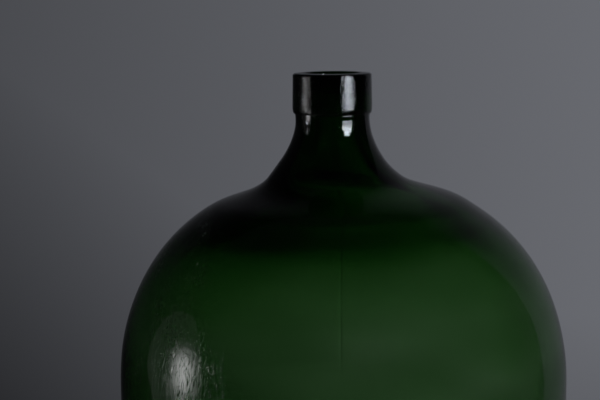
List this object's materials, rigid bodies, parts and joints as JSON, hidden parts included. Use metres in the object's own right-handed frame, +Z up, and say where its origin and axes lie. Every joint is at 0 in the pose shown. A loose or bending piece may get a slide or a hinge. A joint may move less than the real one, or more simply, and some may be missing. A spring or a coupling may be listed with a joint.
{
  "type": "glass carboy",
  "caption": "Large green blown-glass carboy with a round shoulder, flared off-centre neck and thick collar, open at the mouth, for fermenting and storing liquids.",
  "frame": {"origin": "centre of the resting ring, on the surface that the carboy stands on", "axes": "+Z up along the body's axis to the mouth; the neck stands 8 mm off towards -X"},
  "size_m": [0.4, 0.4, 0.55],
  "materials": {
    "vessel_glass": "clear deep green blown glass, glossy",
    "collar_glass": "thick near-black green glass, glossy, tooled surface"
  },
  "bodies": {
    "root": {"glass_vessel": "vessel_glass", "neck_collar": "collar_glass"}
  },
  "joints": []
}
